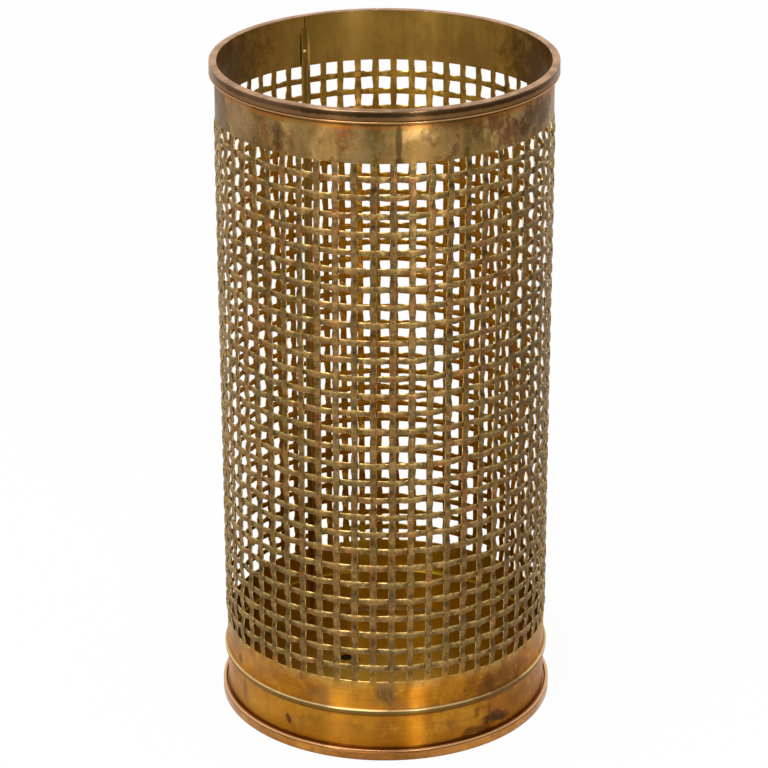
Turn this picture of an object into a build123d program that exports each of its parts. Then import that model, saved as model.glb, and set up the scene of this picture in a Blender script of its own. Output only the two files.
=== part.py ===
from build123d import *
import os
from math import cos, degrees, sqrt

# Sheet body: radius of its outer face, sheet thickness
wall_radius = 120.3
wall_sheet = 1.0

# Heights from the ground up
pan_floor = 1.2
skirt_height = 33.7
bead_width = 6.0
lower_band = 22.2
row_pitch = 13.41
top_band = 38.1

# Rolled bead of the lower sheet
bead_depth = 2.3

# Pierced field
row_count = 30
column_count = 56
bar_height = 4.33
post_width = 4.7

# Upright joint of the sheet, seen at the back left
seam_at = 119.4
seam_width = 7.3
strip_width = 4.6
strip_shift = 0.9
strip_sheet = 0.8
strip_drop = 9.4
rivet_radius = 0.9
rivet_lip = 0.5
rivet_dome = 0.7
rivet_rise = 11.6

# Rolled hoop round the mouth, with its flat core
rim_depth = 4.7
rim_height = 9.3
rim_sheet = 0.8
rim_round = 0.9
core_round = 1.0

# Pan under the wall, with a folded upturned edge
pan_gap = 1.3
pan_hem = 3.0
pan_edge = 8.6
pan_round = 0.9
pan_flat = 0.2
hem_line_drop = 1.7
hem_line_depth = 0.4
drain_radius = 5.0
drain_distance = 47.5
drain_at = 130.7

# Solder ring between wall and pan
solder_leg = 2.5

# Distance within which two corners count as the same
same_point = 0.001

# Levels and radii that follow
wall_inner = wall_radius - wall_sheet
layer_radius = wall_radius - wall_sheet / 2
bead_low = pan_floor + skirt_height
bead_mid = bead_low + bead_width / 2
bead_high = bead_low + bead_width
field_low = bead_high + lower_band
field_high = field_low + row_count * row_pitch - bar_height
wall_top = field_high + top_band
stand_height = wall_top + rim_sheet
rim_radius = wall_radius + rim_depth
pan_radius = wall_radius + pan_gap + pan_hem
strip_radius = wall_inner - strip_sheet
solder_top = pan_floor + solder_leg
strip_high = wall_top - strip_drop
strip_at = seam_at + degrees(strip_shift / wall_inner)
seam_extra = degrees((seam_width - post_width) / layer_radius)
column_pitch = (360.0 - seam_extra) / column_count
rivet_head = rivet_radius + rivet_lip
rivet_levels = {"upper": field_high + rivet_rise, "lower": (bead_high + field_low) / 2}


def outline(points):
    return Face(Wire.make_polygon([Vector(r, 0, z) for r, z in points], close=True))


def turned(face):
    return Solid.revolve(face, 360, Axis.Z)


def band(r_in, r_out, z_low, z_high):
    return turned(outline([(r_in, z_low), (r_out, z_low), (r_out, z_high), (r_in, z_high)]))


def upright(r_in, r_out, z_low, z_high, width, middle):
    angle = degrees(width / r_out)
    face = outline([(r_in, z_low), (r_out, z_low), (r_out, z_high), (r_in, z_high)])
    return Solid.revolve(face, angle, Axis.Z).rotate(Axis.Z, middle - angle / 2)


def rounded(face, corners, radius):
    chosen = []
    for r, z in corners:
        chosen += [v for v in face.vertices() if (Vector(v) - Vector(r, 0, z)).length < same_point]
    return face.fillet_2d(radius, chosen)


def rivet_bore(level):
    start = Plane((strip_radius - strip_sheet, 0, level), z_dir=(1, 0, 0))
    length = wall_radius + wall_sheet - strip_radius + strip_sheet
    return Solid.make_cylinder(rivet_radius, length, start).rotate(Axis.Z, strip_at)


def line(r_from, z_from, r_to, z_to):
    return Edge.make_line((r_from, 0, z_from), (r_to, 0, z_to))


def bead_arc(radius, z_from, z_to):
    crest = (radius + bead_depth, 0, bead_mid)
    return Edge.make_three_point_arc((radius, 0, z_from), crest, (radius, 0, z_to))


# Lower part of the sheet: skirt, bead and plain band
low_edges = [
    line(wall_inner, pan_floor, wall_radius, pan_floor),
    line(wall_radius, pan_floor, wall_radius, bead_low),
    bead_arc(wall_radius, bead_low, bead_high),
    line(wall_radius, bead_high, wall_radius, field_low),
    line(wall_radius, field_low, wall_inner, field_low),
    line(wall_inner, field_low, wall_inner, bead_high),
    bead_arc(wall_inner, bead_high, bead_low),
    line(wall_inner, bead_low, wall_inner, pan_floor),
]
lower_sheet = turned(Face(Wire(low_edges))).cut(rivet_bore(rivet_levels["lower"]))
upper_sheet = band(wall_inner, wall_radius, field_high, wall_top).cut(rivet_bore(rivet_levels["upper"]))

# Bars between the holes: level ones in the outer half of the sheet, upright ones in the inner half
level_bars = []
for row in range(1, row_count):
    bar_top = field_low + row * row_pitch
    level_bars.append(band(layer_radius, wall_radius, bar_top - bar_height, bar_top))
posts = [upright(wall_inner, layer_radius, field_low, field_high, seam_width, seam_at)]
for column in range(1, column_count):
    middle = seam_at + seam_extra / 2 + column * column_pitch
    posts.append(upright(wall_inner, layer_radius, field_low, field_high, post_width, middle))
pierced_wall = upper_sheet.fuse(lower_sheet, *level_bars, *posts, glue=True)

# Strip over the joint, inside, with a pin near each end
seam_strip = upright(strip_radius, wall_inner, solder_top, strip_high, strip_width, strip_at)
for level in rivet_levels.values():
    seam_strip = seam_strip.cut(rivet_bore(level))


def seam_rivet(level):
    head_face = strip_radius * cos(rivet_head / strip_radius)
    dome_radius = (rivet_head**2 + rivet_dome**2) / (2 * rivet_dome)
    dome_middle = head_face - rivet_dome + dome_radius
    half_out = rivet_head / 2
    dome_edge = Edge.make_three_point_arc(
        (head_face, 0, rivet_head),
        (dome_middle - sqrt(dome_radius**2 - half_out**2), 0, half_out),
        (head_face - rivet_dome, 0, 0),
    )
    profile = [
        line(wall_radius, 0, wall_radius, rivet_radius),
        line(wall_radius, rivet_radius, head_face, rivet_radius),
        line(head_face, rivet_radius, head_face, rivet_head),
        dome_edge,
        line(head_face - rivet_dome, 0, wall_radius, 0),
    ]
    pin = Solid.revolve(Face(Wire(profile)), 360, Axis.X)
    return pin.translate(Vector(0, 0, level)).rotate(Axis.Z, strip_at)


# Rolled hoop over the upper edge and the flat core inside it
cavity_out = rim_radius - rim_sheet
cavity_low = stand_height - rim_height + rim_sheet
rim_low = stand_height - rim_height
rim_face = outline(
    [
        (wall_inner, wall_top),
        (wall_inner, stand_height),
        (rim_radius, stand_height),
        (rim_radius, rim_low),
        (wall_radius, rim_low),
        (wall_radius, cavity_low),
        (cavity_out, cavity_low),
        (cavity_out, wall_top),
    ]
)
rim_face = rounded(rim_face, [(rim_radius, stand_height), (rim_radius, rim_low)], rim_round)
rim_face = rounded(rim_face, [(cavity_out, cavity_low), (cavity_out, wall_top)], core_round)
top_rim = turned(rim_face)
core_face = outline(
    [(wall_radius, cavity_low), (cavity_out, cavity_low), (cavity_out, wall_top), (wall_radius, wall_top)]
)
rim_core = turned(rounded(core_face, [(cavity_out, cavity_low), (cavity_out, wall_top)], core_round))

# Pan: flat floor, upturned folded edge with the line of the fold, drain hole
pan_inner = pan_radius - pan_hem
hem_line = pan_edge - hem_line_drop
pan_face = outline(
    [
        (0, 0),
        (pan_radius, 0),
        (pan_radius, hem_line - hem_line_depth),
        (pan_radius - hem_line_depth, hem_line),
        (pan_radius, hem_line + hem_line_depth),
        (pan_radius, pan_edge),
        (pan_inner, pan_edge),
        (pan_inner, pan_floor),
        (0, pan_floor),
    ]
)
edge_round = min(pan_round, (pan_hem - pan_flat) / 2, hem_line_drop - hem_line_depth - pan_flat)
pan_face = rounded(pan_face, [(pan_radius, pan_edge), (pan_inner, pan_edge)], edge_round)
pan_face = rounded(pan_face, [(pan_radius, 0)], pan_round)
drain = Solid.make_cylinder(drain_radius, pan_edge, Plane((drain_distance, 0, -pan_floor)))
base_pan = turned(pan_face).cut(drain.rotate(Axis.Z, drain_at))

# Solder ring in the corner inside
solder_inner = wall_inner - solder_leg
solder_face = outline([(wall_inner, pan_floor), (wall_inner, solder_top), (solder_inner, pan_floor)])
base_solder = turned(solder_face)

pieces = {
    "pierced_wall": pierced_wall,
    "seam_strip": seam_strip,
    "seam_rivet_upper": seam_rivet(rivet_levels["upper"]),
    "seam_rivet_lower": seam_rivet(rivet_levels["lower"]),
    "top_rim": top_rim,
    "rim_core": rim_core,
    "base_pan": base_pan,
    "base_solder": base_solder,
}
os.makedirs("parts", exist_ok=True)
for name, piece in pieces.items():
    piece.label = name
    export_step(piece, f"parts/{name}.step", write_pcurves=False)
    print(name, round(piece.volume), "mm3")
print("height", round(stand_height, 2), "width", round(2 * rim_radius, 2))
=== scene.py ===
import math
import random

import bpy
from mathutils import Matrix, Vector


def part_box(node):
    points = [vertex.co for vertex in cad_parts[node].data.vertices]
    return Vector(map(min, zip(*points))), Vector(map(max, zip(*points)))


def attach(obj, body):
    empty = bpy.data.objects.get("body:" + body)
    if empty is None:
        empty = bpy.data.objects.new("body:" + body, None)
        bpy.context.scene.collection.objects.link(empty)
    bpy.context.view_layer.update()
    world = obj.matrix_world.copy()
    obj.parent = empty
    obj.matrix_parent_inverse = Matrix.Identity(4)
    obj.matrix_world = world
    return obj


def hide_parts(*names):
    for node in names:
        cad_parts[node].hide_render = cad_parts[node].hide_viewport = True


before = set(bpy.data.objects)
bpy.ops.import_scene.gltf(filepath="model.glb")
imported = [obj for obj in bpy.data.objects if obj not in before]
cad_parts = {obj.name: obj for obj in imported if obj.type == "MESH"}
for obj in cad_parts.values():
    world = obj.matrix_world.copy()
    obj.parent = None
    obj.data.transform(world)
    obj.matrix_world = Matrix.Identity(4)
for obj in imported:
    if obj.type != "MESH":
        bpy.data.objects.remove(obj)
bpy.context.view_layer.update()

mm = 0.001
plainWhite = (1.0, 1.0, 1.0, 1.0)
scene = bpy.context.scene
scene.view_settings.view_transform = "Standard"
print("frame loaded,", len(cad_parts), "nodes")


# camera at the height and distance that the rows of holes give
cameraSet = {
    "place": (0.0, -2.1703, 1.1647),
    "downTilt": 22.899,
    "leftTurn": 0.0217,
    "roll": -0.126,
    "lens": 149.19,
    "sensor": 36.0,
    "farEnd": 50.0,
}


def placeCamera(values):
    eye = bpy.data.cameras.new("photoCamera")
    eye.lens = values["lens"]
    eye.sensor_width = values["sensor"]
    eye.clip_end = values["farEnd"]
    seat = bpy.data.objects.new("photoCamera", eye)
    scene.collection.objects.link(seat)
    turn = Matrix.Rotation(math.radians(values["leftTurn"]), 4, "Z")
    tilt = Matrix.Rotation(math.radians(90.0 - values["downTilt"]), 4, "X")
    roll = Matrix.Rotation(math.radians(values["roll"]), 4, "Z")
    seat.matrix_world = Matrix.Translation(values["place"]) @ turn @ tilt @ roll
    scene.camera = seat


placeCamera(cameraSet)
print("camera placed")


# node helpers
def addNode(tree, kind, inputs=None, **settings):
    made = tree.nodes.new(kind)
    for key, value in settings.items():
        setattr(made, key, value)
    for key, value in (inputs or {}).items():
        if isinstance(value, bpy.types.NodeSocket):
            tree.links.new(value, made.inputs[key])
        else:
            made.inputs[key].default_value = value
    return made


def paint(red, green, blue):
    # colour as a picture shows it, made linear
    def straight(value):
        value = value / 255.0
        return value / 12.92 if value <= 0.04045 else ((value + 0.055) / 1.055) ** 2.4

    return (straight(red), straight(green), straight(blue), 1.0)


def cloud(tree, place, scale, detail=3.0, rough=0.55):
    inputs = {"Vector": place, "Scale": scale, "Detail": detail, "Roughness": rough}
    return addNode(tree, "ShaderNodeTexNoise", inputs).outputs["Fac"]


def spread(tree, value, low, high, toLow=0.0, toHigh=1.0):
    inputs = {0: value, 1: low, 2: high, 3: toLow, 4: toHigh}
    made = addNode(tree, "ShaderNodeMapRange", inputs, clamp=True, interpolation_type="SMOOTHSTEP")
    return made.outputs[0]


def combine(tree, first, second, how="MULTIPLY"):
    return addNode(tree, "ShaderNodeMath", {0: first, 1: second}, operation=how).outputs[0]


def mixValue(tree, share, first, second):
    return addNode(tree, "ShaderNodeMix", {0: share, 2: first, 3: second}).outputs[0]


def mixColour(tree, share, first, second):
    # the colour sockets of a mix node are its inputs 6 and 7
    inputs = {0: share, 6: first, 7: second}
    return addNode(tree, "ShaderNodeMix", inputs, data_type="RGBA", clamp_factor=True).outputs[2]


def attribute(tree, name):
    return addNode(tree, "ShaderNodeAttribute", attribute_name=name).outputs["Fac"]


# entries of a look: a cloud of tarnish, a level in height, a single mark
def layer(scale, colour, share, edge, stretch=(1.0, 1.0, 1.0)):
    return {"scale": scale, "colour": colour, "share": share, "edge": edge, "stretch": stretch}


def level(low, high, soft, colour, share, ragged=0.0):
    return {"low": low, "high": high, "soft": soft, "colour": colour, "share": share, "ragged": ragged}


def mark(at, height, size, colour, share, lean=0.0, core=0.4, ragged=1.6):
    entry = {"at": at, "height": height, "size": size, "colour": colour, "share": share}
    entry.update(lean=lean, core=core, ragged=ragged)
    return entry


# grain that all finishes share
grainSet = {
    "raggedScale": 110.0,
    "raggedDetail": 4.0,
    "raggedRough": 0.65,
    "layerShift": (0.13, 0.29, 0.07),
    "layerDetail": 4.0,
    "layerRough": 0.62,
    "markDepth": 0.05,
    "dipDetail": 3.0,
    "dipEdge": (0.3, 0.62),
    "glossScale": 45.0,
    "glossDetail": 4.0,
    "glossEdge": (0.3, 0.7),
    "borderScale": 40.0,
    "brushTurn": 0.25,
    "bumpDetail": 3.0,
    "bumpRough": 0.6,
    "bumpHeight": 0.0003,
}


# colour of one finish: tarnish clouds, levels and marks (some painted shade and light), then painted
# shade, wear and glints from the mesh
def finishColour(tree, place, look):
    height = addNode(tree, "ShaderNodeSeparateXYZ", {0: place}).outputs["Z"]
    grain = cloud(tree, place, grainSet["raggedScale"], grainSet["raggedDetail"], grainSet["raggedRough"])
    ragged = combine(tree, grain, 0.5, "SUBTRACT")
    colour = look["main"]
    for number, tint in enumerate(look["clouds"]):
        colour = addCloud(tree, place, colour, number, tint)
    for zone in look.get("levels", []):
        soft = zone["soft"]
        uneven = combine(tree, height, combine(tree, ragged, zone["ragged"]), "ADD")
        above = spread(tree, uneven, zone["low"] - soft, zone["low"] + soft)
        below = spread(tree, uneven, zone["high"] - soft, zone["high"] + soft, 1.0, 0.0)
        share = combine(tree, combine(tree, above, below), zone["share"])
        colour = mixColour(tree, share, colour, zone["colour"])
    for stain in look.get("marks", []):
        colour = addMark(tree, place, colour, ragged, look["radius"], stain)
    for name, dip in look.get("dips", {}).items():
        noise = cloud(tree, place, dip["scale"], grainSet["dipDetail"])
        uneven = spread(tree, noise, *grainSet["dipEdge"], dip["least"], 1.0)
        share = combine(tree, combine(tree, attribute(tree, name), uneven), dip["share"])
        colour = mixColour(tree, share, colour, dip["colour"])
    return colour


def addCloud(tree, place, colour, number, tint):
    shift = [part * number for part in grainSet["layerShift"]]
    inputs = {"Vector": place, "Location": shift, "Scale": tint["stretch"]}
    moved = addNode(tree, "ShaderNodeMapping", inputs).outputs[0]
    noise = cloud(tree, moved, tint["scale"], grainSet["layerDetail"], grainSet["layerRough"])
    share = combine(tree, spread(tree, noise, *tint["edge"]), tint["share"])
    return mixColour(tree, share, colour, tint["colour"])


def addMark(tree, place, colour, ragged, radius, stain):
    turn, lean = math.radians(stain["at"]), math.radians(stain["lean"])
    inputs = {
        "Vector": place,
        "Location": (radius * math.cos(turn), radius * math.sin(turn), stain["height"]),
        "Rotation": (lean, 0.0, turn),
        "Scale": (grainSet["markDepth"], *stain["size"]),
    }
    local = addNode(tree, "ShaderNodeMapping", inputs, vector_type="TEXTURE").outputs[0]
    far = addNode(tree, "ShaderNodeVectorMath", {0: local}, operation="LENGTH").outputs["Value"]
    far = combine(tree, far, combine(tree, ragged, stain["ragged"]), "ADD")
    share = spread(tree, far, stain["core"], 1.0, stain["share"], 0.0)
    return mixColour(tree, share, colour, stain["colour"])


def finishRough(tree, place, look):
    noise = cloud(tree, place, grainSet["glossScale"], grainSet["glossDetail"])
    return spread(tree, noise, *grainSet["glossEdge"], *look["rough"])


# metal of one finish, with others above given levels and one more on faces marked as inside
def brass(name, look, higher=(), inside=None):
    material = bpy.data.materials.new(name)
    material.use_nodes = True
    tree = material.node_tree
    shader = tree.nodes["Principled BSDF"]
    shader.inputs["Metallic"].default_value = 1.0
    shader.inputs["Anisotropic"].default_value = look["brushed"]
    shader.inputs["Anisotropic Rotation"].default_value = grainSet["brushTurn"]
    shader.inputs["Specular Tint"].default_value = look.get("edgeTint", plainWhite)
    place = addNode(tree, "ShaderNodeTexCoord").outputs["Object"]
    height = addNode(tree, "ShaderNodeSeparateXYZ", {0: place}).outputs["Z"]
    ragged = combine(tree, cloud(tree, place, grainSet["borderScale"]), 0.5, "SUBTRACT")
    colour = finishColour(tree, place, look)
    rough = finishRough(tree, place, look)
    brushed = look["brushed"]
    others = []
    for other in higher:
        uneven = combine(tree, height, combine(tree, ragged, other["ragged"]), "ADD")
        others.append((spread(tree, uneven, other["from"], other["to"]), other))
    if inside:
        others.append((attribute(tree, "inside"), inside))
    for share, other in others:
        colour = mixColour(tree, share, colour, finishColour(tree, place, other))
        rough = mixValue(tree, share, rough, finishRough(tree, place, other))
        brushed = mixValue(tree, share, brushed, other["brushed"])
    if others:
        tree.links.new(brushed, shader.inputs["Anisotropic"])
    tree.links.new(colour, shader.inputs["Base Color"])
    tree.links.new(rough, shader.inputs["Roughness"])
    grain = cloud(tree, place, look["grainScale"], grainSet["bumpDetail"], grainSet["bumpRough"])
    inputs = {"Strength": look["bump"], "Distance": grainSet["bumpHeight"], "Height": grain}
    tree.links.new(addNode(tree, "ShaderNodeBump", inputs).outputs[0], shader.inputs["Normal"])
    return material


# looks of the metals: places in metres, turns in degrees round the stand
weaveLook = {
    "radius": 0.1203,
    "main": paint(141, 108, 62),
    "clouds": [
        layer(20.0, paint(122, 98, 54), 0.9, (0.42, 0.6)),
        layer(34.0, paint(134, 86, 50), 0.7, (0.49, 0.63), stretch=(1.0, 1.0, 0.6)),
        layer(30.0, paint(164, 136, 82), 0.5, (0.54, 0.7)),
        layer(15.0, paint(96, 76, 44), 0.6, (0.52, 0.66)),
        layer(64.0, paint(104, 94, 64), 0.55, (0.53, 0.63)),
        layer(150.0, paint(92, 70, 38), 0.55, (0.48, 0.62)),
        layer(105.0, paint(164, 86, 40), 0.6, (0.6, 0.68), stretch=(1.0, 1.0, 0.6)),
        layer(330.0, paint(182, 148, 92), 0.55, (0.52, 0.66)),
        layer(620.0, paint(62, 46, 24), 0.5, (0.52, 0.65)),
    ],
    "marks": [
        # painted shade down the right front of the weave
        mark(337.0, 0.27, (0.09, 0.32), paint(76, 58, 42), 0.75, core=0.1, ragged=0.4),
    ],
    "dips": {
        # painted shade where a bar dips under its neighbour
        "dipShade": {"colour": paint(76, 54, 30), "share": 0.7, "scale": 160.0, "least": 0.25},
        # painted shade midway along some sloping spans of the uprights
        "slopeShade": {"colour": paint(48, 32, 16), "share": 0.95, "scale": 190.0, "least": 0.3},
        # edge wear together with painted glints along the hole edges
        "wearAndGlint": {"colour": paint(250, 218, 134), "share": 0.8, "scale": 300.0, "least": 0.0},
    },
    "from": 0.053,
    "to": 0.072,
    "ragged": 0.022,
    "rough": (0.32, 0.46),
    "brushed": 0.5,
}
bandLook = {
    "radius": 0.1203,
    "main": paint(138, 105, 58),
    "clouds": [
        layer(15.0, paint(94, 76, 38), 0.9, (0.47, 0.57), stretch=(1.0, 1.0, 0.45)),
        layer(24.0, paint(180, 144, 88), 0.8, (0.52, 0.62), stretch=(1.0, 1.0, 0.7)),
        layer(34.0, paint(120, 70, 38), 0.75, (0.52, 0.61)),
        layer(75.0, paint(122, 110, 74), 0.55, (0.53, 0.62)),
        layer(130.0, paint(80, 54, 26), 0.6, (0.54, 0.64), stretch=(1.0, 1.0, 0.6)),
        layer(420.0, paint(66, 48, 26), 0.4, (0.57, 0.69)),
        layer(560.0, paint(184, 150, 98), 0.3, (0.54, 0.68)),
    ],
    "levels": [
        # painted reflection of the rim's lip in orange under it, then a painted shadow line right under
        # the rim
        level(0.4852, 0.52, 0.0014, paint(156, 96, 30), 0.7, ragged=0.004),
        level(0.4878, 0.52, 0.0005, paint(64, 40, 18), 0.8, ragged=0.001),
    ],
    "marks": [
        # painted reflection: a dark streak and dark zone down the middle of the front (these three marks)
        mark(274.6, 0.4760, (0.0030, 0.0170), paint(64, 48, 26), 0.85, core=0.5, ragged=0.6),
        mark(274.9, 0.4625, (0.0042, 0.0050), paint(60, 46, 26), 0.8),
        mark(269.0, 0.4800, (0.0180, 0.0230), paint(96, 78, 42), 0.3, core=0.2),
        mark(233.0, 0.4720, (0.0060, 0.0240), paint(76, 48, 26), 0.85, core=0.1),
        mark(238.5, 0.4680, (0.0040, 0.0120), paint(96, 66, 36), 0.7, core=0.1),
        mark(308.0, 0.4800, (0.0120, 0.0090), paint(110, 64, 40), 0.8, core=0.1, ragged=3.0),
        mark(317.0, 0.4720, (0.0190, 0.0180), paint(96, 58, 38), 0.8, core=0.1, ragged=3.0),
        # painted shade at the right front end of the band
        mark(332.0, 0.4760, (0.0340, 0.0240), paint(78, 52, 28), 0.9, core=0.25, ragged=2.2),
        mark(243.0, 0.4760, (0.0220, 0.0240), paint(108, 84, 46), 0.55, core=0.1),
        mark(281.5, 0.4730, (0.0180, 0.0220), paint(116, 90, 48), 0.5, core=0.1),
        mark(215.0, 0.4740, (0.0220, 0.0260), paint(178, 146, 108), 0.4, core=0.1),
        mark(262.0, 0.4740, (0.0120, 0.0240), paint(168, 136, 88), 0.4, core=0.1),
        # painted shade under the rim, right of the front
        mark(294.0, 0.4880, (0.0260, 0.0080), paint(80, 62, 34), 0.7, core=0.2),
    ],
    # edge wear together with painted glints
    "dips": {"wearAndGlint": {"colour": paint(226, 188, 110), "share": 0.7, "scale": 200.0, "least": 0.15}},
    "from": 0.4602,
    "to": 0.4612,
    "ragged": 0.0,
    "rough": (0.35, 0.45),
    "brushed": 0.45,
}
baseLook = {
    "radius": 0.1203,
    "main": paint(188, 127, 36),
    "clouds": [
        layer(14.0, paint(164, 102, 20), 0.9, (0.42, 0.6)),
        layer(26.0, paint(142, 90, 48), 0.55, (0.53, 0.67)),
        layer(58.0, paint(138, 86, 40), 0.45, (0.5, 0.62), stretch=(1.0, 1.0, 0.7)),
        layer(84.0, paint(216, 154, 44), 0.45, (0.53, 0.65)),
        layer(16.0, paint(140, 90, 28), 0.3, (0.48, 0.68), stretch=(1.0, 1.0, 45.0)),
        layer(22.0, paint(212, 152, 66), 0.35, (0.52, 0.7), stretch=(1.0, 1.0, 70.0)),
        layer(420.0, paint(120, 76, 30), 0.2, (0.56, 0.7)),
    ],
    "levels": [
        # partly painted shade of the crevice behind the pan's lip, partly stain at the foot; then painted
        # shade on the lower skirt
        level(-0.01, 0.0096, 0.0006, paint(76, 38, 8), 0.9, ragged=0.005),
        level(-0.01, 0.0180, 0.0040, paint(152, 92, 12), 0.45),
        # painted shadow under the bead, then dark and olive bands up to the crest, and a painted
        # highlight along the crest
        level(0.0348, 0.0358, 0.0004, paint(100, 62, 12), 0.75),
        level(0.0360, 0.0378, 0.0005, paint(92, 66, 26), 0.85),
        level(0.0378, 0.0397, 0.0003, paint(108, 88, 48), 0.9),
        level(0.0398, 0.0407, 0.0003, paint(250, 222, 158), 0.75),
    ],
    "marks": [
        mark(270.2, 0.0540, (0.0110, 0.0150), paint(108, 78, 46), 0.9, core=0.3, ragged=2.0),
        mark(271.0, 0.0500, (0.0012, 0.0070), paint(178, 134, 72), 0.4, lean=24.0, core=0.1, ragged=1.2),
        mark(268.2, 0.0530, (0.0010, 0.0060), paint(176, 130, 66), 0.35, lean=14.0, core=0.1, ragged=1.2),
        mark(233.4, 0.0200, (0.0028, 0.0065), paint(80, 44, 26), 0.9, lean=20.0),
        mark(208.9, 0.0240, (0.0050, 0.0095), paint(104, 66, 46), 0.75),
        mark(205.5, 0.0465, (0.0046, 0.0060), paint(112, 72, 46), 0.8),
        mark(247.0, 0.0480, (0.0110, 0.0090), paint(142, 100, 56), 0.6, core=0.1, ragged=2.4),
        mark(226.0, 0.0500, (0.0160, 0.0110), paint(146, 98, 48), 0.45, core=0.1, ragged=2.4),
        mark(304.0, 0.0125, (0.0150, 0.0048), paint(96, 60, 26), 0.8, lean=-8.0, core=0.3, ragged=2.0),
        mark(312.5, 0.0168, (0.0180, 0.0068), paint(62, 38, 26), 0.9, lean=-10.0, core=0.4, ragged=1.8),
        mark(304.0, 0.0270, (0.0030, 0.0070), paint(126, 78, 22), 0.7, core=0.2),
        mark(309.5, 0.0255, (0.0026, 0.0080), paint(116, 70, 20), 0.7, core=0.2),
        mark(299.0, 0.0480, (0.0040, 0.0060), paint(120, 76, 34), 0.7, core=0.1, ragged=2.4),
        mark(309.0, 0.0490, (0.0060, 0.0090), paint(98, 58, 26), 0.75, core=0.1, ragged=2.4),
        mark(315.0, 0.0480, (0.0480, 0.0200), paint(108, 66, 28), 0.7, core=0.2),
        # painted light on the left front of the lower band and skirt (two marks)
        mark(218.0, 0.0530, (0.0300, 0.0120), paint(206, 152, 84), 0.3, core=0.1),
        mark(216.0, 0.0240, (0.0400, 0.0300), paint(206, 150, 62), 0.25, core=0.1),
        mark(252.0, 0.0220, (0.0460, 0.0170), paint(136, 86, 26), 0.55, core=0.1, ragged=1.2),
        mark(326.0, 0.0230, (0.0380, 0.0140), paint(128, 78, 30), 0.65, core=0.1),
    ],
    # edge wear together with painted glints
    "dips": {"wearAndGlint": {"colour": paint(240, 190, 96), "share": 0.7, "scale": 240.0, "least": 0.2}},
    "rough": (0.34, 0.42),
    "grainScale": 520.0,
    "bump": 0.1,
    "brushed": 0.95,
    "edgeTint": paint(242, 236, 228),
}
insideLook = {
    "radius": 0.1193,
    "main": paint(192, 152, 66),
    "clouds": [
        layer(24.0, paint(164, 130, 54), 0.9, (0.44, 0.58)),
        layer(60.0, paint(140, 106, 42), 0.7, (0.48, 0.64), stretch=(1.0, 1.0, 0.08)),
        layer(42.0, paint(120, 84, 34), 0.6, (0.51, 0.62), stretch=(1.0, 1.0, 0.6)),
        layer(150.0, paint(122, 88, 32), 0.5, (0.52, 0.66)),
        layer(420.0, paint(214, 172, 78), 0.2, (0.54, 0.7)),
    ],
    "levels": [
        # painted shade: the inside darkens with depth; it turns yellower near the floor, and darker and
        # duller in the plain top band
        level(-0.1, 0.42, 0.05, paint(148, 92, 8), 0.85),
        level(-0.1, 0.085, 0.035, paint(174, 138, 34), 0.9),
        level(0.4610, 0.6, 0.0040, paint(152, 120, 58), 0.6),
    ],
    "marks": [
        # painted shade on the inside around both sides of the stand (these four marks)
        mark(157.0, 0.4700, (0.0640, 0.0700), paint(84, 58, 24), 0.85, core=0.1),
        mark(205.0, 0.4700, (0.0700, 0.0700), paint(92, 64, 28), 0.7, core=0.1),
        mark(24.0, 0.4700, (0.0640, 0.0700), paint(84, 58, 24), 0.85, core=0.1),
        mark(338.0, 0.4700, (0.0700, 0.0700), paint(100, 70, 32), 0.6, core=0.1),
        # painted shadow along the strip's left edge, painted highlight along its right edge
        mark(121.3, 0.4720, (0.0011, 0.0190), paint(54, 34, 12), 0.9, core=0.4, ragged=0.3),
        mark(118.1, 0.4720, (0.0012, 0.0180), paint(232, 192, 104), 0.7, core=0.3, ragged=0.5),
        mark(119.6, 0.4960, (0.0008, 0.0120), paint(62, 42, 18), 0.8, core=0.3, ragged=0.4),
    ],
    # edge wear together with painted glints on the inner edges
    "dips": {"wearAndGlint": {"colour": paint(252, 218, 112), "share": 0.6, "scale": 160.0, "least": 0.0}},
    "rough": (0.3, 0.4),
    "brushed": 0.6,
}
rimLook = {
    "radius": 0.1250,
    "main": paint(84, 59, 31),
    "clouds": [
        layer(20.0, paint(78, 58, 32), 0.9, (0.42, 0.6)),
        layer(18.0, paint(116, 84, 48), 0.5, (0.5, 0.68), stretch=(1.0, 1.0, 40.0)),
        layer(34.0, paint(126, 88, 50), 0.45, (0.54, 0.68)),
        layer(300.0, paint(62, 44, 28), 0.4, (0.54, 0.7)),
    ],
    "levels": [
        # painted shade in the groove above the lip, painted reflection as a lighter lower face and a dark
        # upper face, and a painted highlight on the lip
        level(0.4921, 0.4927, 0.0002, paint(58, 38, 22), 0.45),
        level(0.4927, 0.4956, 0.0005, paint(124, 90, 56), 0.5, ragged=0.003),
        level(0.4956, 0.4987, 0.0005, paint(46, 31, 17), 0.8, ragged=0.003),
        level(0.4, 0.4920, 0.0002, paint(196, 148, 92), 0.8),
    ],
    "marks": [
        # painted light on the left front of the rim's face
        mark(226.0, 0.4960, (0.0560, 0.0200), paint(150, 112, 82), 0.25, core=0.1, ragged=1.2),
    ],
    # wear together with a painted highlight on the rolled top
    "dips": {"wearAndGlint": {"colour": paint(206, 168, 132), "share": 0.9, "scale": 60.0, "least": 0.4}},
    "rough": (0.22, 0.32),
    "grainScale": 460.0,
    "bump": 0.12,
    "brushed": 0.4,
    "edgeTint": paint(247, 230, 218),
}
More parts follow.
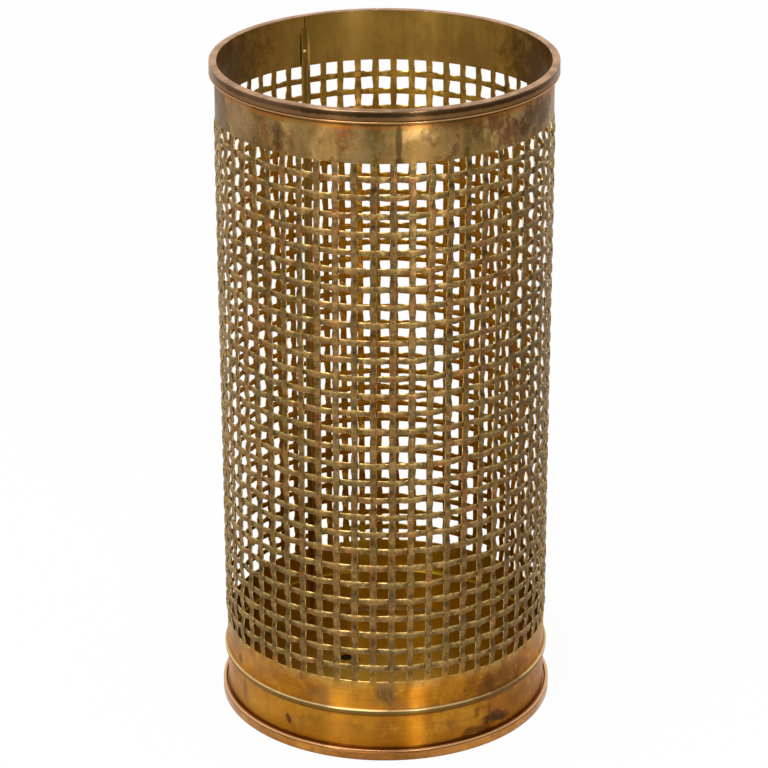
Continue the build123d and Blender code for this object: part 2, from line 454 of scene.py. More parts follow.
panLook = {
    "radius": 0.1246,
    "main": paint(178, 120, 58),
    "clouds": [
        layer(16.0, paint(160, 104, 42), 0.9, (0.42, 0.6)),
        layer(30.0, paint(146, 92, 42), 0.5, (0.5, 0.66), stretch=(1.0, 1.0, 30.0)),
        layer(24.0, paint(212, 156, 96), 0.5, (0.52, 0.68), stretch=(1.0, 1.0, 40.0)),
        layer(70.0, paint(206, 138, 54), 0.5, (0.52, 0.62)),
        layer(130.0, paint(122, 70, 30), 0.45, (0.54, 0.66), stretch=(1.0, 1.0, 2.0)),
    ],
    "levels": [
        # painted highlight along the top of the pan's edge, painted shade in its fold line, and darker at
        # the very bottom
        level(0.0074, 0.02, 0.0003, paint(226, 180, 130), 0.75),
        level(0.0065, 0.0073, 0.0002, paint(112, 66, 26), 0.8),
        level(-0.01, 0.0012, 0.0006, paint(124, 82, 40), 0.6),
    ],
    "marks": [
        mark(268.0, 0.0040, (0.0640, 0.0200), paint(122, 78, 40), 0.6, core=0.2, ragged=0.6),
    ],
    "dips": {"floor": {"colour": paint(204, 164, 54), "share": 0.95, "scale": 30.0, "least": 0.75}},
    "rough": (0.26, 0.36),
    "grainScale": 460.0,
    "bump": 0.15,
    "brushed": 0.4,
}
stripLook = {
    "main": paint(122, 98, 44),
    "clouds": [
        layer(40.0, paint(104, 82, 36), 0.8, (0.44, 0.62), stretch=(1.0, 1.0, 0.2)),
        layer(260.0, paint(176, 138, 72), 0.4, (0.54, 0.7)),
    ],
    # edge wear together with painted glints towards the strip's edges
    "dips": {"wearAndGlint": {"colour": paint(214, 174, 98), "share": 0.8, "scale": 120.0, "least": 0.3}},
    "rough": (0.26, 0.36),
    "brushed": 0.0,
    "grainScale": 460.0,
    "bump": 0.15,
}
rivetLook = dict(stripLook, main=paint(236, 200, 120), rough=(0.2, 0.3))
solderLook = dict(stripLook, main=paint(112, 78, 34), rough=(0.45, 0.6))
steelLook = dict(stripLook, main=paint(120, 120, 122), rough=(0.4, 0.55))

sheetBrass = brass("tarnishedSheetBrass", baseLook, (weaveLook, bandLook), insideLook)
rimBrass = brass("darkRimBrass", rimLook)
panBrass = brass("brushedPanBrass", panLook)
stripBrass = brass("dullStripBrass", stripLook)
rivetBrass = brass("brightRivetBrass", rivetLook)
solderMetal = brass("dullSolder", solderLook)
coreSteel = brass("coreSteel", steelLook)
print("materials made")


# mesh helpers
sharpAngle = 26.0  # faces that meet at a greater angle keep their edge


def finishPiece(name, points, faces, corners, material, pointValues=None, inside=None):
    mesh = bpy.data.meshes.new(name)
    mesh.from_pydata(points, [], faces)
    mesh.uv_layers.new(name="OFBake")
    mesh.uv_layers["OFBake"].data.foreach_set("uv", corners)
    for key, values in (pointValues or {}).items():
        mesh.attributes.new(key, "FLOAT", "POINT").data.foreach_set("value", values)
    if inside is not None:
        mesh.attributes.new("inside", "FLOAT", "FACE").data.foreach_set("value", inside)
    mesh.materials.append(material)
    mesh.polygons.foreach_set("use_smooth", [True] * len(mesh.polygons))
    mesh.set_sharp_from_angle(angle=math.radians(sharpAngle))
    mesh.update()
    piece = bpy.data.objects.new(name, mesh)
    scene.collection.objects.link(piece)
    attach(piece, "root")
    return piece


def smooth(low, high, value):
    share = min(1.0, max(0.0, (value - low) / (high - low)))
    return share * share * (3 - 2 * share)


def arc(middle, radius, start, end, steps):
    turns = [math.radians(start + (end - start) * step / steps) for step in range(steps + 1)]
    return [(middle[0] + radius * math.cos(turn), middle[1] + radius * math.sin(turn)) for turn in turns]


# sheet body, in mm and degrees: plain bands, and between them bars pressed to look woven
sheet = {
    "outer": 120.3,
    "thick": 1.0,
    "foot": 1.2,
    "skirtLines": (8.0, 20.0),
    "beadLow": 34.9,
    "beadHigh": 40.9,
    "beadDepth": 2.3,
    "beadFlare": 0.35,
    "flareSteps": ((6.0, 0.0), (3.2, 0.25), (1.2, 0.6)),
    "crestAt": 0.78,
    "crestSteps": 16,
    "bandLine": 54.0,
    "topLines": (5.0, 14.0),
    "rimClear": 0.3,
    "rimFade": 4.5,
    "swell": 0.8,
    "swellFrom": 150.0,
    "swellTo": 450.0,
    "jointFrom": 3.5,
    "jointTo": 14.0,
    "edge": 0.25,
}
weave = {
    "fieldLow": 63.1,
    "rowPitch": 13.41,
    "rows": 30,
    "columns": 56,
    "cutRows": (10, 20),
    "plainBar": 4.33,  # height of a level bar of the solids
    "barHeight": 4.5,
    "uprightWidth": 4.75,
    "seamAt": 119.4,
    "seamWidth": 7.3,
    "turnFront": -0.9,
    "twist": -0.9,
    "relief": 0.5,
    "crown": 0.14,
    "levelCrown": 0.14,
    "bevel": 0.35,
    "upperBevel": 0.5,
    "dropOut": 0.3,
    "upperDrop": 0.5,
    "dropIn": 0.3,
    "lift": 0.4,
    "flare": 0.09,
    "unevenSide": 0.24,
    "unevenOut": 0.08,
    "unevenWidth": 0.08,
    "under": (0.24, 0.74),  # share of a cell over which a bar goes under
    "back": (0.72, 0.9),
    "backShare": 0.7,
    "endFade": 0.7,
    "seamFade": (0.1, 0.9),
    # place and width of the painted shade on the uprights' slopes
    "slopeShadeAt": 0.47,
    "slopeShadeWide": 0.17,
    # depth of dip at which the painted shade begins
    "dipShadeFrom": 0.1,
    # painted glint on the upper bevels of the level bars
    "upperEdgeGlint": 0.3,
    "seed": 41,
}
fieldHigh = weave["fieldLow"] + weave["rows"] * weave["rowPitch"] - weave["plainBar"]
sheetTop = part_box("pierced_wall")[1].z / mm
rimLow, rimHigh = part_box("top_rim")
underRim = rimLow.z / mm - sheet["rimClear"]
wallMiddle = sheet["outer"] - sheet["thick"] / 2
seamExtra = math.degrees((weave["seamWidth"] - weave["uprightWidth"]) / wallMiddle)
columnPitch = (360.0 - seamExtra) / weave["columns"]
halfBar = weave["barHeight"] / 2 / weave["rowPitch"]
halfUpright = math.degrees(weave["uprightWidth"] / 2 / wallMiddle) / columnPitch
luck = random.Random(weave["seed"])
lumps = {}


def lump(kind, column, row):
    key = (kind, column % weave["columns"], row)
    if key not in lumps:
        lumps[key] = luck.uniform(-1.0, 1.0)
    return lumps[key]


def drift(kind, column, row, along, byRow):
    # slow random change along one bar, from crossing to crossing
    first = math.floor(along)
    ease = smooth(0.0, 1.0, along - first)
    if byRow:
        return lump(kind, column, first) * (1 - ease) + lump(kind, column, first + 1) * ease
    return lump(kind, first, row) * (1 - ease) + lump(kind, first + 1, row) * ease


def wave(share):
    # 1 where the bar lies over its neighbour, down to -1, then part of the way back
    return 1.0 - 2.0 * smooth(*weave["under"], share) + weave["backShare"] * smooth(*weave["back"], share)


def fade(along):
    # none at the ends of the uprights, where they run into the plain bands
    return smooth(0.0, weave["endFade"], along) * smooth(0.0, weave["endFade"], weave["rows"] - along)


def seamFade(along):
    # none at the joint of the sheet
    return smooth(*weave["seamFade"], along) * smooth(*weave["seamFade"], weave["columns"] - along)


def riseUpright(column, along):
    row = min(math.floor(along), weave["rows"] - 1)
    share = along - row
    woven = column % weave["columns"] != 0
    return wave(share if (column + row) % 2 else 1.0 - share) * fade(along) * woven


def riseLevel(row, along):
    column = math.floor(along)
    share = along - column
    woven = 0 < row < weave["rows"]
    return wave(1.0 - share if (column + row) % 2 else share) * seamFade(along) * woven


# lines of the mesh: across each bar from -1 to 1, and at shares of each hole
bevelSide = weave["bevel"] / (weave["uprightWidth"] / 2)
bevelLevel = weave["bevel"] / (weave["barHeight"] / 2)
bevelUpper = weave["upperBevel"] / (weave["barHeight"] / 2)
holeShares = (0.25, 0.5, 0.75)
columnLines = []
for column in range(weave["columns"]):
    columnLines += [(column, x, None) for x in (-1.0, bevelSide - 1.0, 0.0, 1.0 - bevelSide, 1.0)]
    columnLines += [(column, None, share) for share in holeShares]
perColumn = len(columnLines) // weave["columns"]


def bandLines():
    foot, edge, flare = sheet["foot"], sheet["edge"], sheet["beadFlare"]
    beadLow, beadHigh, crestAt = sheet["beadLow"], sheet["beadHigh"], sheet["crestAt"]
    low = [(foot, -edge), (foot + edge, 0.0)] + [(foot + up, 0.0) for up in sheet["skirtLines"]]
    low += [(beadLow - away, share * flare) for away, share in sheet["flareSteps"]]
    for step in range(sheet["crestSteps"] + 1):
        share = step / sheet["crestSteps"]
        side = (share - crestAt) / (crestAt if share < crestAt else 1.0 - crestAt)
        out = flare + (sheet["beadDepth"] - flare) * math.sqrt(1.0 - side * side)
        low.append((beadLow + share * (beadHigh - beadLow), out))
    low += [(beadHigh + away, share * flare) for away, share in reversed(sheet["flareSteps"])]
    low.append((sheet["bandLine"], 0.0))
    high = [(fieldHigh + up, 0.0) for up in sheet["topLines"]]
    high += [(z, 0.0) for z in (underRim - sheet["rimFade"], underRim, sheetTop - edge)]
    high.append((sheetTop, -edge))
    return [("band", z, out) for z, out in low], [("band", z, out) for z, out in high]


lowLines, highLines = bandLines()
rowLines = lowLines + [("bar", 0, 1.0 - bevelUpper), ("bar", 0, 1.0)]
for row in range(weave["rows"]):
    rowLines += [("gap", row, share) for share in holeShares]
    if row < weave["rows"] - 1:
        rowLines += [("bar", row + 1, y) for y in (-1.0, bevelLevel - 1.0, 0.0, 1.0 - bevelUpper, 1.0)]
rowLines += [("bar", weave["rows"], -1.0), ("bar", weave["rows"], bevelLevel - 1.0)] + highLines


def alongColumn(line):
    # height of a level line, counted in rows
    kind, row, part = line
    if kind == "bar":
        return min(max(row + part * halfBar, 0.0), weave["rows"])
    if kind == "gap":
        return row + halfBar + part * (1.0 - 2 * halfBar)
    return 0.0 if row < weave["fieldLow"] else float(weave["rows"])


def alongRow(line):
    # place of an upright line, counted in columns
    column, x, share = line
    if x is not None:
        return (column + x * halfUpright) % weave["columns"]
    return column + halfUpright + share * (1.0 - 2 * halfUpright)


def uprightEdge(column, x, along):
    # angle of a line on one upright at a height given in rows; the upright at the joint is wider
    woven, count = fade(along), weave["columns"]
    passed = 0.0 if column == 0 else 1.0 if column == count else 0.5
    angle = weave["seamAt"] + column * columnPitch + seamExtra * passed
    width = weave["uprightWidth"] if column % count else weave["seamWidth"]
    uneven = weave["unevenWidth"] * drift("uw", column, 0, along, True)
    width *= 1.0 + woven * (weave["flare"] * riseUpright(column, along) + uneven)
    side = woven * weave["unevenSide"] * drift("us", column, 0, along, True)
    front = 0.5 * (1.0 - math.sin(math.radians(angle)))
    angle += weave["turnFront"] * front + weave["twist"] * (1.0 - along / weave["rows"])
    return angle + math.degrees((side + x * width / 2) / wallMiddle)


def lineAngle(columnLine, along):
    column, x, share = columnLine
    if x is not None:
        return uprightEdge(column, x, along)
    left, right = uprightEdge(column, 1.0, along), uprightEdge(column + 1, -1.0, along)
    return left + (right - left) * share


def barEdge(row, y, along):
    # height of a line on one level bar at a place given in columns
    middle = weave["fieldLow"] + row * weave["rowPitch"] - weave["plainBar"] / 2
    if row == 0 or row == weave["rows"]:
        return middle + y * weave["plainBar"] / 2
    uneven = weave["unevenWidth"] * drift("hw", 0, row, along, False)
    high = weave["barHeight"] * (1.0 + weave["flare"] * riseLevel(row, along) + uneven)
    side = seamFade(along) * weave["unevenSide"] * drift("hs", 0, row, along, False)
    return middle + side + y * high / 2


def lineHeight(rowLine, along):
    kind, row, part = rowLine
    if kind == "band":
        return row
    if kind == "bar":
        return barEdge(row, part, along)
    low, high = barEdge(row, 1.0, along), barEdge(row + 1, -1.0, along)
    return low + (high - low) * part


def swell(angle, height, end):
    # slight widening towards the top, none at the joint and under the rim
    away = abs((math.degrees(angle) - weave["seamAt"] + 180.0) % 360.0 - 180.0)
    upward = smooth(sheet["swellFrom"], sheet["swellTo"], height) * smooth(underRim, end, height)
    return sheet["swell"] * upward * smooth(sheet["jointFrom"], sheet["jointTo"], away)


def barRise(rowLine, columnLine, up, around):
    # how far out the sheet lies, and whether the point is on the edge of a hole
    kind, row, part = rowLine
    column, x, _ = columnLine
    onUpright, onBar = x is not None, kind == "bar"
    if not (onUpright and onBar):
        rise = riseUpright(column, up) if onUpright else riseLevel(row, around)
        return rise, abs(x if onUpright else part) == 1.0
    if abs(x) == 1.0 and abs(part) == 1.0:
        return (riseUpright(column, up) + riseLevel(row, around)) / 2, True
    if (column + row) % 2 == 0:
        return riseUpright(column, up) if abs(part) == 1.0 else riseLevel(row, around), False
    return riseLevel(row, around) if abs(x) == 1.0 else riseUpright(column, up), False


def sheetPoint(rowLine, columnLine):
    # angle, height, outer and inner radius, then painted shade of dips, wear with painted glint on edges,
    # painted shade of slopes
    kind, row, part = rowLine
    column, x, _ = columnLine
    up, around = alongColumn(rowLine), alongRow(columnLine)
    angle, height = math.radians(lineAngle(columnLine, up)), lineHeight(rowLine, around)
    wide = sheet["outer"] + swell(angle, height, underRim - sheet["rimFade"])
    if kind == "band":
        inner = sheet["outer"] - sheet["thick"] + swell(angle, height, fieldHigh)
        return angle, height, wide + part, inner + max(part, 0.0), 0.0, 0.0, 0.0
    rise, edge = barRise(rowLine, columnLine, up, around)
    onUpright, onBar, woven = x is not None, kind == "bar", fade(up)
    asUpright = onUpright and not (onBar and (column + row) % 2 == 0)
    across = x if asUpright else part
    crown = weave["crown" if asUpright else "levelCrown"] * (1.0 - across * across) * woven
    wander = drift("uo", column, 0, up, True) if onUpright else drift("ho", 0, row, around, False)
    lift = woven * seamFade(around) * (weave["lift"] + weave["unevenOut"] * wander)
    middle = wide + lift + weave["relief"] * rise
    drop = weave["upperDrop" if onBar and part == 1.0 else "dropOut"] if edge else 0.0
    # painted shade halfway along the uprights' spans where they slope
    slopeShade = 0.0
    if onUpright and kind == "gap" and (column + row) % 2 and column:
        away = (up - row - weave["slopeShadeAt"]) / weave["slopeShadeWide"]
        slopeShade = math.exp(-(away**2)) * (1.0 - 0.5 * x * x) * woven
    # painted shade that deepens as the bar dips under
    dipShade = smooth(weave["dipShadeFrom"], 1.0, -rise)
    # wear with a painted glint on hole edges, and a weaker painted glint on the upper bevels of level
    # bars
    onUpperBevel = onBar and not asUpright and 0.0 < part < 1.0
    wearAndGlint = 1.0 if edge else weave["upperEdgeGlint"] if onUpperBevel else 0.0
    inner = middle - sheet["thick"] + weave["dropIn"] * edge
    return angle, height, middle + crown - drop, inner, dipShade, wearAndGlint, slopeShade


# map of the sheet: its outside below, its inside above, the closed ends in a strip at the top
mapSet = {"part": 0.48, "insideFrom": 0.5, "ends": (0.985, 0.99), "wallShare": 0.3}


def sheetPiece(name, start, end):
    # skin, inside skin, walls of the holes and closed ends, between two of the level lines
    lines = rowLines[start : end + 1]
    count, spans = len(columnLines), end - start
    points, keys = [], ("dipShade", "wearAndGlint", "slopeShade")
    values = {key: [] for key in keys}
    outerAt, innerAt = {}, {}
    for j, rowLine in enumerate(lines):
        for i, columnLine in enumerate(columnLines):
            if rowLine[0] == "gap" and columnLine[1] is None:
                continue
            angle, height, outer, inner, *marks = sheetPoint(rowLine, columnLine)
            for radius, table in ((outer, outerAt), (inner, innerAt)):
                table[j, i] = len(points)
                points.append((radius * mm * math.cos(angle), radius * mm * math.sin(angle), height * mm))
                for key, value in zip(keys, marks):
                    values[key].append(value)
    faces, corners, inside = [], [], []
    gapRow = ["gap" in (low[0], high[0]) for low, high in zip(lines, lines[1:])]
    gapColumn = []
    for left, right in zip(columnLines, columnLines[1:] + columnLines[:1]):
        gapColumn.append(left[1] is None or right[1] is None)

    def mapPoint(j, i, deep=False):
        return i / count, j / spans * mapSet["part"] + (mapSet["insideFrom"] if deep else 0.0)

    def addFace(face, uv, inner):
        faces.append(face)
        inside.append(inner)
        for u, v in uv:
            corners.extend((u, v))

    def wall(first, second, toward):
        # one strip of a hole's wall; its map lies in the hole's own empty square
        share, uv = mapSet["wallShare"], (mapPoint(*first), mapPoint(*second))
        deep = [(u + share * (toward[0] - u), v + share * (toward[1] - v)) for u, v in uv]
        here, there = (first[0], first[1] % count), (second[0], second[1] % count)
        face = (outerAt[here], innerAt[here], innerAt[there], outerAt[there])
        addFace(face, (uv[0], deep[0], deep[1], uv[1]), 1.0)

    for j in range(spans):
        for i in range(count):
            if gapRow[j] and gapColumn[i]:
                continue
            ring = ((j, i), (j, i + 1), (j + 1, i + 1), (j + 1, i))
            back = (ring[0], ring[3], ring[2], ring[1])
            for table, order, deep in ((outerAt, ring, False), (innerAt, back, True)):
                face = [table[a, b % count] for a, b in order]
                addFace(face, [mapPoint(a, b, deep) for a, b in order], float(deep))
    for j, (kind, _, part) in enumerate(lines):
        for i, (column, x, _) in enumerate(columnLines):
            if kind == "bar" and gapColumn[i] and abs(part) == 1.0 and 0 < j < spans:
                strip = ((j, i), (j, i + 1)) if part > 0 else ((j, i + 1), (j, i))
                holeMiddle = (column + 1) * perColumn - 2
                wall(*strip, mapPoint(j + 2 * part, holeMiddle))
            if j < spans and gapRow[j] and x is not None and abs(x) == 1.0:
                strip = ((j + 1, i), (j, i)) if x > 0 else ((j, i), (j + 1, i))
                wall(*strip, mapPoint(j + 0.5, i + 2 * x))
    low, high = mapSet["ends"]
    for j, flip in ((0, False), (spans, True)):
        for i in range(count):
            if lines[j][0] == "gap" and gapColumn[i]:
                continue
            k, left, right = (i + 1) % count, i / count, (i + 1) / count
            face = (outerAt[j, i], innerAt[j, i], innerAt[j, k], outerAt[j, k])
            uv = [(left, low), (left, high), (right, high), (right, low)]
            addFace(face[::-1] if flip else face, uv, 1.0)
    return finishPiece(name, points, faces, corners, sheetBrass, values, inside)


def cutLine(row):
    # level line through the middle of a row of holes, where one piece of the sheet ends
    return rowLines.index(("gap", row, holeShares[1]))


cutRows = (0, *weave["cutRows"], weave["rows"] - 1)
cuts = [0, *(cutLine(row) for row in cutRows), len(rowLines) - 1]
names = ("lowerBand", "weaveLower", "weaveMiddle", "weaveUpper", "upperBand")
sheetPieces = [sheetPiece(name, start, end) for name, start, end in zip(names, cuts, cuts[1:])]
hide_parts("pierced_wall")
print("sheet made:", sum(len(piece.data.polygons) for piece in sheetPieces), "faces")


def skinLoops(name, loops, material, pointValues, sectors=3):
    # skin over closed loops that stand round the axis
    points, faces, corners = [], [], []
    size, count = len(loops[0]), len(loops)
    perRow = count // sectors
    for step, loop in enumerate(loops):
        points += [(x * mm, y * mm, z * mm) for x, y, z in loop]
        here, there = step * size, (step + 1) % count * size
        left, right = step % perRow / perRow, (step % perRow + 1) / perRow
        for side in range(size):
            other = (side + 1) % size
            faces.append((here + side, there + side, there + other, here + other))
            low = (step // perRow + side / size) / sectors
            high = (step // perRow + (side + 1) / size) / sectors
            corners.extend((left, low, right, low, right, high, left, high))
    return finishPiece(name, points, faces, corners, material, pointValues)


# rolled rim with a fine lip below, in mm; the crest goes from the face to the inside
rimSet = {
    "round": 0.7,
    "slope": 0.25,
    "lip": 0.75,
    "recess": 0.15,
    "line": 0.3,
    "lineRise": 0.1,
    "faceStart": (0.05, 0.5),
    "faceLow": 4.5,
    "faceHigh": 2.2,
    "crest": ((3.0, 0.15), (1.0, 0.0), (0.4, 0.05), (0.0, 0.4)),
    "overWall": 0.75,
    "seat": 0.02,
    "footEdge": (0.3, 0.2),
    "wearGlintFrom": 1.1,
    "wearGlintTo": 0.4,
    "segments": 288,
}


def rimOutline(values):
    top, low, outer = rimHigh.z / mm, rimLow.z / mm, rimHigh.x / mm
    inner, seat = sheet["outer"] - sheet["thick"], sheet["outer"] + values["seat"]
    lip, face, edge = values["lip"], outer - values["recess"], values["round"]
    overWall, (setBack, rise) = values["overWall"], values["faceStart"]
    footWide, footHigh = values["footEdge"]
    outline = arc((outer - lip, low + lip), lip, -90, 75, 8)
    outline.append((face - values["line"], low + 2 * lip + values["lineRise"]))
    outline.append((face - setBack, low + 2 * lip + rise))
    outline += [(face, low + values["faceLow"]), (face, top - values["faceHigh"])]
    outline += arc((face - edge, top - values["slope"] - edge), edge, 0, 80, 6)
    outline += [(inner + out, top - drop) for out, drop in values["crest"]]
    outline += [(inner, top - overWall), (seat, top - overWall)]
    return outline + [(seat, low + footHigh), (seat + footWide, low)]


def makeRim(values):
    outline = rimOutline(values)
    top = rimHigh.z / mm
    # wear and a painted highlight on the rolled top
    wearAndGlint = [smooth(top - values["wearGlintFrom"], top - values["wearGlintTo"], z) for _, z in outline]
    loops = []
    for step in range(values["segments"]):
        turn = 2 * math.pi * step / values["segments"]
        loops.append([(r * math.cos(turn), r * math.sin(turn), z) for r, z in outline])
    return skinLoops("rolledRim", loops, rimBrass, {"wearAndGlint": wearAndGlint * values["segments"]})


rim = makeRim(rimSet)
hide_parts("top_rim")
print("rim turned")


# pan with its folded edge and drain hole, in mm; a ripple is its count, share and start
panSet = {
    "radius": 124.6,
    "hem": 3.0,
    "edge": 8.6,
    "floor": 1.2,
    "round": 1.15,
    "foot": 0.9,
    "side": 3.5,
    "line": 6.9,
    "lineDepth": 0.45,
    "lineLow": 0.4,
    "lineHigh": (0.1, 0.35),
    "fill": 7.3,
    "fillEdge": 0.2,
    "seat": 0.02,
    "drain": 5.0,
    "drainPlace": (-30.975, 36.012),
    "floorReach": 119.0,
    "floorRings": (0.0, 0.02, 0.15, 0.3, 0.45, 0.6, 0.75, 0.9, 1.0),
    "wobble": 0.12,
    "ripples": ((3, 1.0, 1.0), (7, 0.6, 0.0), (17, 0.4, 2.0)),
    "outFrom": (0.5, 4.0),
    "upFrom": (3.0, 6.0),
    "upShare": 0.7,
    "segments": 288,
}


def panEdge(values):
    outer, inner = values["radius"], values["radius"] - values["hem"]
    high, edge, foot = values["edge"], values["round"], values["foot"]
    line, fill, ease = values["line"], values["fill"], values["fillEdge"]
    wall, (setBack, rise) = sheet["outer"] + values["seat"], values["lineHigh"]
    outline = arc((outer - foot, foot), foot, -90, 0, 5)
    outline += [(outer, values["side"]), (outer, line - values["lineLow"])]
    outline += [(outer - values["lineDepth"], line), (outer - setBack, line + rise)]
    outline += arc((outer - edge, high - edge), edge, 5, 90, 6)
    outline += arc((inner + edge, high - edge), edge, 90, 180, 6)
    return outline + [(inner, fill + ease), (inner - ease, fill), (wall, fill), (wall, values["floor"])]


def makePan(values):
    outline = panEdge(values)
    reach, hole = values["floorReach"], values["drainPlace"]
    loops, floor = [], []
    for step in range(values["segments"]):
        turn = 2 * math.pi * step / values["segments"]
        across, up = math.cos(turn), math.sin(turn)
        ripple = sum(share * math.sin(count * turn + start) for count, share, start in values["ripples"])
        ripple *= values["wobble"] / 2
        disc = []
        for share in values["floorRings"]:
            radius = values["drain"] * (1 - share) + reach * share
            disc.append((hole[0] * (1 - share) + radius * across, hole[1] * (1 - share) + radius * up))
        loop = [(x, y, 0.0) for x, y in disc]
        for r, z in outline:
            moved = r + ripple * smooth(*values["outFrom"], z)
            lifted = z + values["upShare"] * ripple * smooth(*values["upFrom"], z)
            loop.append((moved * across, moved * up, lifted))
        loop += [(x, y, values["floor"]) for x, y in reversed(disc)]
        loops.append(loop)
        floor += [1.0] * len(disc) + [0.0] * (len(outline) - 1) + [1.0] * (len(disc) + 1)
    return skinLoops("brushedPan", loops, panBrass, {"floor": floor})


pan = makePan(panSet)
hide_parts("base_pan")
print("pan made")


# strip over the joint inside, slightly crowned, in mm
stripSet = {
    "at": 119.832,
    "width": 4.6,
    "thick": 0.8,
    "side": 0.35,
    "crown": 0.22,
    "edge": 0.3,
    "steps": 60,
    "wearGlintFrom": 0.75,
    "mapSides": 0.96,
    "mapEnds": (0.5, 0.98),
}


def stripSection(values):
    half, back = values["width"] / 2, sheet["outer"] - sheet["thick"]
    section = [(-half, back), (-half, back - values["side"])]
    for share in (-1.0, -0.6, -0.2, 0.2, 0.6, 1.0):
        crowned = back - values["thick"] + values["crown"] * share * share
        section.append((share * (half - values["edge"]), crowned))
    return section + [(half, back - values["side"]), (half, back)]


def makeStrip(values):
    low, high = (corner.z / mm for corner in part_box("seam_strip"))
    section = stripSection(values)
    size, steps, half = len(section), values["steps"], values["width"] / 2
    points, faces, corners, wearAndGlint = [], [], [], []
    for step in range(steps + 1):
        z = low + (high - low) * step / steps
        for side, r in section:
            turn = math.radians(values["at"]) + side / r
            points.append((r * mm * math.cos(turn), r * mm * math.sin(turn), z * mm))
            # wear and painted glint towards the strip's edges
            wearAndGlint.append(smooth(values["wearGlintFrom"], 1.0, abs(side) / half))
    for step in range(steps):
        here, there = step * size, (step + 1) * size
        left, right = step / steps, (step + 1) / steps
        for side in range(size):
            other = (side + 1) % size
            faces.append((here + side, there + side, there + other, here + other))
            under, over = side / size * values["mapSides"], (side + 1) / size * values["mapSides"]
            corners.extend((left, under, right, under, right, over, left, over))
    for first, flip in ((0, 1), (steps * size, -1)):
        faces.append([first + side for side in range(size)][::flip])
        corners.extend(values["mapEnds"] * size)
    return finishPiece("seamStrip", points, faces, corners, stripBrass, {"wearAndGlint": wearAndGlint})


strip = makeStrip(stripSet)
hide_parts("seam_strip")
print("strip made")


# pieces that keep their CAD shape
keptFinish = {
    "seam_rivet_upper": rivetBrass,
    "seam_rivet_lower": rivetBrass,
    "base_solder": solderMetal,
    "rim_core": coreSteel,
}
for node, finish in keptFinish.items():
    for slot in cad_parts[node].material_slots:
        slot.material = finish
print("finishes given")


# floor and surroundings, brighter behind than in front
stageSet = {
    "floorSize": 12.0,
    "floorShade": (0.9, 0.9, 0.9, 1.0),
    # painted shadow: under the foot the floor is dark and does not glow; it shows only through the drain
    # hole
    "footDark": 0.118,
    "footSoft": 0.002,
    "footPaintedShadow": (0.03, 0.02, 0.01, 1.0),
    "shadowKept": 0.05,
    "white": 1.0,
    "roomFront": 0.33,
    "roomBack": 1.0,
    "roomTop": 0.75,
    "rightDim": 0.5,
    "depthRange": (-0.9, 0.5),
    "topRange": (0.2, 0.9),
    "behindRange": (-0.1, 0.45),
}


def makeFloor(values):
    half = values["floorSize"] / 2
    mesh = bpy.data.meshes.new("paleFloor")
    corners = [(-half, -half, 0), (half, -half, 0), (half, half, 0), (-half, half, 0)]
    mesh.from_pydata(corners, [], [(0, 1, 2, 3)])
    floor = bpy.data.objects.new("paleFloor", mesh)
    scene.collection.objects.link(floor)
    material = bpy.data.materials.new("paleFloor")
    material.use_nodes = True
    tree = material.node_tree
    tree.nodes.remove(tree.nodes["Principled BSDF"])
    path = addNode(tree, "ShaderNodeLightPath").outputs
    seen = path["Is Camera Ray"]
    for kind in ("Is Glossy Ray", "Is Transmission Ray"):
        seen = combine(tree, seen, path[kind], "MAXIMUM")
    place = addNode(tree, "ShaderNodeTexCoord").outputs["Object"]
    far = addNode(tree, "ShaderNodeVectorMath", {0: place}, operation="LENGTH").outputs["Value"]
    dark, soft = values["footDark"], values["footSoft"]
    outside = spread(tree, far, dark - soft, dark + soft)
    share = combine(tree, combine(tree, seen, outside), 1.0 - values["shadowKept"])
    # painted shadow under the foot in place of the pale floor
    shade = mixColour(tree, outside, values["footPaintedShadow"], values["floorShade"])
    matt = addNode(tree, "ShaderNodeBsdfDiffuse", {"Color": shade})
    glow = addNode(tree, "ShaderNodeEmission", {"Color": plainWhite, "Strength": values["white"]})
    mixed = addNode(tree, "ShaderNodeMixShader", {0: share, 1: matt.outputs[0], 2: glow.outputs[0]})
    tree.links.new(mixed.outputs[0], tree.nodes["Material Output"].inputs["Surface"])
    mesh.materials.append(material)


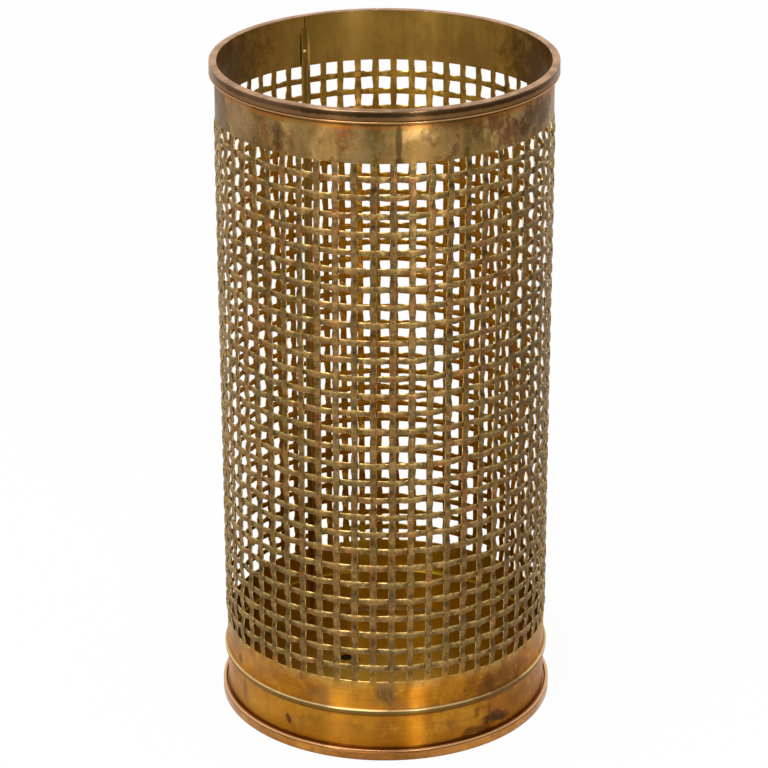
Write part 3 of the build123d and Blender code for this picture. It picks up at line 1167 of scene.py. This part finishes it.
def makeRoom(values):
    world = bpy.data.worlds.new("paleRoom")
    scene.world = world
    world.use_nodes = True
    tree = world.node_tree
    back = tree.nodes["Background"]
    place = addNode(tree, "ShaderNodeTexCoord").outputs["Generated"]
    way = addNode(tree, "ShaderNodeSeparateXYZ", {0: place})
    right = combine(tree, way.outputs["X"], values["rightDim"])
    toward = combine(tree, way.outputs["Y"], right, "SUBTRACT")
    depth = spread(tree, toward, *values["depthRange"], values["roomFront"], values["roomBack"])
    upward = spread(tree, way.outputs["Z"], *values["topRange"])
    dim = mixValue(tree, upward, depth, values["roomTop"])
    path = addNode(tree, "ShaderNodeLightPath").outputs
    shown = combine(tree, path["Is Glossy Ray"], spread(tree, toward, *values["behindRange"]))
    seen = combine(tree, path["Is Camera Ray"], path["Is Transmission Ray"], "MAXIMUM")
    strength = mixValue(tree, combine(tree, seen, shown, "MAXIMUM"), dim, values["white"])
    back.inputs["Color"].default_value = plainWhite
    tree.links.new(strength, back.inputs["Strength"])


makeFloor(stageSet)
makeRoom(stageSet)
print("floor and room made")


# lamps, all aimed at the middle of the stand
lampAim = (0.0, 0.0, 0.27)
lampSet = {
    "keySoftbox": {"place": (-0.5, -0.95, 2.1), "size": (1.0, 1.0), "power": 20.0},
    "fillSoftbox": {"place": (1.4, -0.4, 1.9), "size": (1.2, 1.2), "power": 2.0},
    "leftStrip": {"place": (-1.1, -1.75, 0.5), "size": (0.4, 0.9), "power": 6.0},
    "rightStrip": {"place": (0.72, -1.95, 0.42), "size": (0.14, 0.8), "power": 10.0},
}


def makeLamp(name, values):
    light = bpy.data.lights.new(name, "AREA")
    light.shape = "RECTANGLE"
    light.size, light.size_y = values["size"]
    light.energy = values["power"]
    lamp = bpy.data.objects.new(name, light)
    scene.collection.objects.link(lamp)
    lamp.location = values["place"]
    aim = Vector(lampAim) - Vector(values["place"])
    lamp.rotation_euler = aim.to_track_quat("-Z", "Y").to_euler()


for lampName, lampValues in lampSet.items():
    makeLamp(lampName, lampValues)
print("lamps set")
